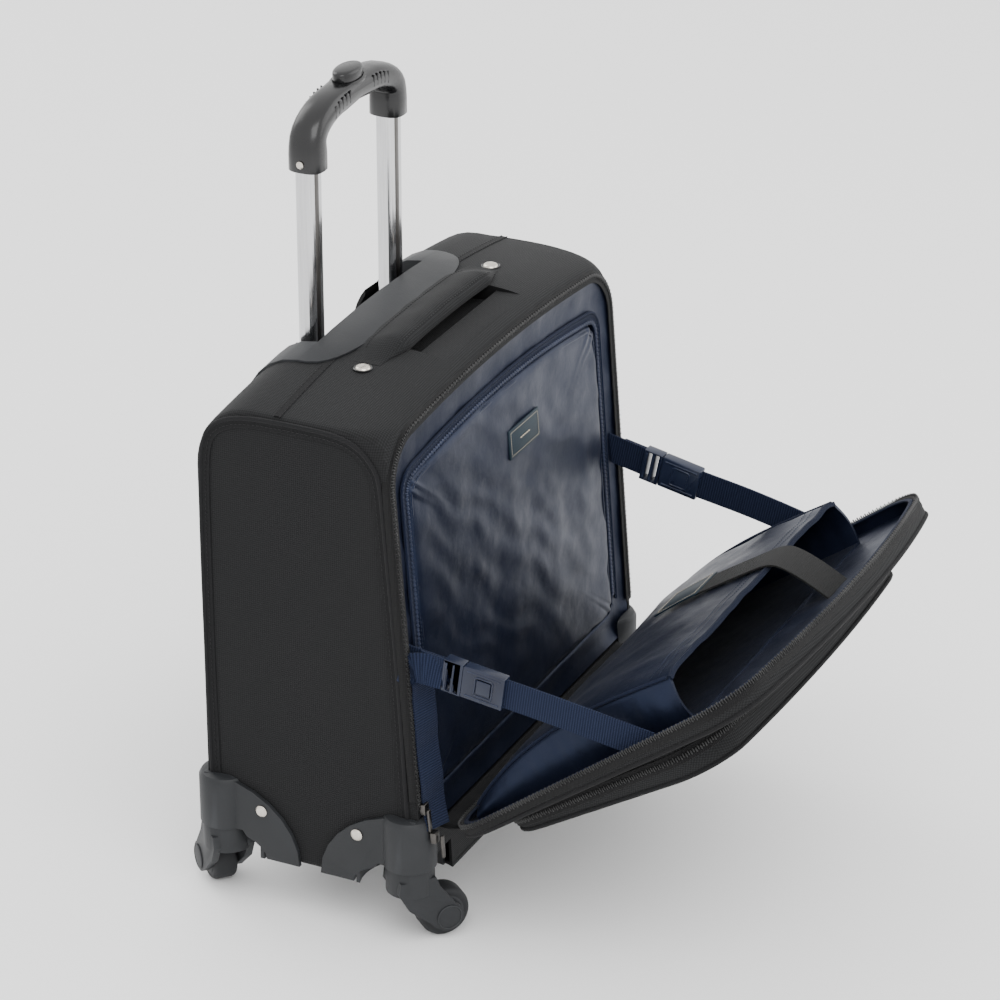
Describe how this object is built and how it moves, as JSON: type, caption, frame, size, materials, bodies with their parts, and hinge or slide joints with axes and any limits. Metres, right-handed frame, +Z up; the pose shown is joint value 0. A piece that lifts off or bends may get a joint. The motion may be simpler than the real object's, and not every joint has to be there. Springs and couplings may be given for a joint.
{
  "type": "rolling laptop case",
  "caption": "Upright four-wheel laptop case: soft shell, front cover let down on buckled straps over a laptop sleeve, zipped compartment panel and telescopic handle.",
  "frame": {"origin": "centre of the bounding box on the floor that the wheels stand on, with the cover let down", "axes": "+Z up, -Y to the front where the cover lets down, +Y to the back with the telescopic handle, +X to the case's left side seen from the front"},
  "size_m": [0.4276, 0.5114, 0.645],
  "materials": {
    "black_polyester": "fine grid-weave polyester, matt",
    "navy_lining": "smooth lining taffeta, soft sheen",
    "navy_webbing": "ribbed webbing, matt",
    "navy_plastic": "satin moulded plastic",
    "black_elastic": "woven elastic, matt",
    "zip_black": "nylon coil zip",
    "gray_plastic": "fine-textured moulded plastic",
    "black_plastic": "satin-gloss moulded plastic",
    "tread": "moulded wheel, matt",
    "tube_metal": "bright fluted tube",
    "nickel": "plated, bright",
    "gunmetal": "dark plated zip metal"
  },
  "bodies": {
    "case": {"case_shell": "black_polyester", "back_lining": "navy_lining", "front_lining": "navy_lining", "case_zipper": "zip_black", "handle_base": "gray_plastic", "tube_bracket": "gray_plastic", "outer_tube_left": "tube_metal", "outer_tube_right": "tube_metal", "carry_handle": "black_polyester", "carry_rivet_left": "nickel", "carry_rivet_right": "nickel", "zip_slider_lower": "gunmetal", "caster_housing_front_left": "gray_plastic", "housing_rivet_front_left": "nickel", "caster_housing_rear_left": "gray_plastic", "housing_rivet_rear_left": "nickel", "caster_housing_front_right": "gray_plastic", "housing_rivet_front_right": "nickel", "caster_housing_rear_right": "gray_plastic", "housing_rivet_rear_right": "nickel"},
    "cover": {"cover_tray": "black_polyester", "front_pocket": "black_polyester", "cover_zipper": "zip_black", "laptop_sleeve": "navy_lining", "cover_strap_left": "navy_webbing", "cover_strap_right": "navy_webbing"},
    "panel": {"compartment_panel": "navy_lining", "panel_pad": "navy_lining"},
    "tab": {"sleeve_tab": "black_elastic"},
    "middle": {"middle_tube_left": "tube_metal", "middle_tube_right": "tube_metal"},
    "upper": {"inner_tube_left": "tube_metal", "inner_tube_right": "tube_metal", "grip": "black_plastic", "grip_screw_left": "nickel", "grip_screw_right": "nickel"},
    "button": {"grip_button": "black_plastic"},
    "buckle_left": {"case_strap_left": "navy_webbing", "buckle_tongue_left": "navy_plastic", "buckle_body_left": "navy_plastic"},
    "release_left": {"buckle_button_left": "navy_plastic"},
    "buckle_right": {"case_strap_right": "navy_webbing", "buckle_tongue_right": "navy_plastic", "buckle_body_right": "navy_plastic"},
    "release_right": {"buckle_button_right": "navy_plastic"},
    "slider_upper": {"zip_slider_upper": "gunmetal"},
    "pull_upper": {"zip_pull_upper": "gunmetal"},
    "pull_lower": {"zip_pull_lower": "gunmetal"},
    "swivel_front_left": {"caster_fork_front_left": "gray_plastic", "caster_axle_front_left": "nickel"},
    "wheel_front_left": {"caster_wheel_front_left": "tread"},
    "swivel_rear_left": {"caster_fork_rear_left": "gray_plastic", "caster_axle_rear_left": "nickel"},
    "wheel_rear_left": {"caster_wheel_rear_left": "tread"},
    "swivel_front_right": {"caster_fork_front_right": "gray_plastic", "caster_axle_front_right": "nickel"},
    "wheel_front_right": {"caster_wheel_front_right": "tread"},
    "swivel_rear_right": {"caster_fork_rear_right": "gray_plastic", "caster_axle_rear_right": "nickel"},
    "wheel_rear_right": {"caster_wheel_rear_right": "tread"}
  },
  "joints": [
    {"name": "cover_hinge", "type": "hinge", "parent": "case", "child": "cover", "pos_m": [0, 0.03619, 0.0895], "axis": [1, 0, 0], "range_deg": [-57.24, 0], "deforming": ["cover_strap_left", "cover_strap_right", "panel_pad"]},
    {"name": "panel_hinge", "type": "hinge", "parent": "case", "child": "panel", "pos_m": [0, 0.04426, 0.12349], "axis": [1, 0, 0], "range_deg": [0, 30]},
    {"name": "tab_hinge", "type": "hinge", "parent": "cover", "child": "tab", "pos_m": [0.045, -0.21526, 0.25433], "axis": [1, 0, 0], "range_deg": [0, 90]},
    {"name": "handle_middle", "type": "slide", "parent": "case", "child": "middle", "axis": [0, 0, 1], "range_m": [0, 0.26]},
    {"name": "handle_upper", "type": "slide", "parent": "middle", "child": "upper", "axis": [0, 0, 1], "range_m": [-0.148, 0.14]},
    {"name": "handle_button", "type": "slide", "parent": "upper", "child": "button", "axis": [0, 0, -1], "range_m": [0, 0.0035], "stiffness_N_per_m": 400},
    {"name": "strap_fold_left", "type": "hinge", "parent": "case", "child": "buckle_left", "pos_m": [-0.1885, 0.06426, 0.25], "axis": [1, 0, 0], "range_deg": [0, 81.2]},
    {"name": "buckle_release_left", "type": "slide", "parent": "buckle_left", "child": "release_left", "axis": [1, 0, 0], "range_m": [0, 0.0015], "stiffness_N_per_m": 300},
    {"name": "strap_fold_right", "type": "hinge", "parent": "case", "child": "buckle_right", "pos_m": [0.1885, 0.06569, 0.269], "axis": [1, 0, 0], "range_deg": [0, 77]},
    {"name": "buckle_release_right", "type": "slide", "parent": "buckle_right", "child": "release_right", "axis": [-1, 0, 0], "range_m": [0, 0.0015], "stiffness_N_per_m": 300},
    {"name": "zip_run_upper", "type": "slide", "parent": "case", "child": "slider_upper", "axis": [0, 0.075, 0.9972], "range_m": [0, 0.2]},
    {"name": "zip_pull_swing_upper", "type": "hinge", "parent": "slider_upper", "child": "pull_upper", "pos_m": [-0.1975, 0.03126, 0.12397], "axis": [1, 0, 0], "range_deg": [-90, 0]},
    {"name": "zip_pull_swing_lower", "type": "hinge", "parent": "case", "child": "pull_lower", "pos_m": [-0.1925, 0.02228, 0.10057], "axis": [1, 0, 0], "range_deg": [-90, 0]},
    {"name": "caster_swivel_front_left", "type": "hinge", "parent": "case", "child": "swivel_front_left", "pos_m": [-0.19, 0.05189, 0], "axis": [0, 0, 1], "continuous": true},
    {"name": "caster_roll_front_left", "type": "hinge", "parent": "swivel_front_left", "child": "wheel_front_left", "pos_m": [-0.17008, 0.03518, 0.021], "axis": [-0.6428, -0.766, 0], "continuous": true},
    {"name": "caster_swivel_rear_left", "type": "hinge", "parent": "case", "child": "swivel_rear_left", "pos_m": [-0.19, 0.21589, 0], "axis": [0, 0, 1], "continuous": true},
    {"name": "caster_roll_rear_left", "type": "hinge", "parent": "swivel_rear_left", "child": "wheel_rear_left", "pos_m": [-0.17227, 0.23491, 0.021], "axis": [0.7314, -0.682, 0], "continuous": true},
    {"name": "caster_swivel_front_right", "type": "hinge", "parent": "case", "child": "swivel_front_right", "pos_m": [0.19, 0.05189, 0], "axis": [0, 0, 1], "continuous": true},
    {"name": "caster_roll_front_right", "type": "hinge", "parent": "swivel_front_right", "child": "wheel_front_right", "pos_m": [0.17008, 0.03518, 0.021], "axis": [-0.6428, 0.766, 0], "continuous": true},
    {"name": "caster_swivel_rear_right", "type": "hinge", "parent": "case", "child": "swivel_rear_right", "pos_m": [0.19, 0.21589, 0], "axis": [0, 0, 1], "continuous": true},
    {"name": "caster_roll_rear_right", "type": "hinge", "parent": "swivel_rear_right", "child": "wheel_rear_right", "pos_m": [0.17227, 0.23491, 0.021], "axis": [0.7314, 0.682, 0], "continuous": true}
  ],
  "couplings": [
    {"joint": "strap_fold_left", "follows": "cover_hinge", "ratio": -1.3924},
    {"joint": "strap_fold_right", "follows": "cover_hinge", "ratio": -1.319}
  ]
}
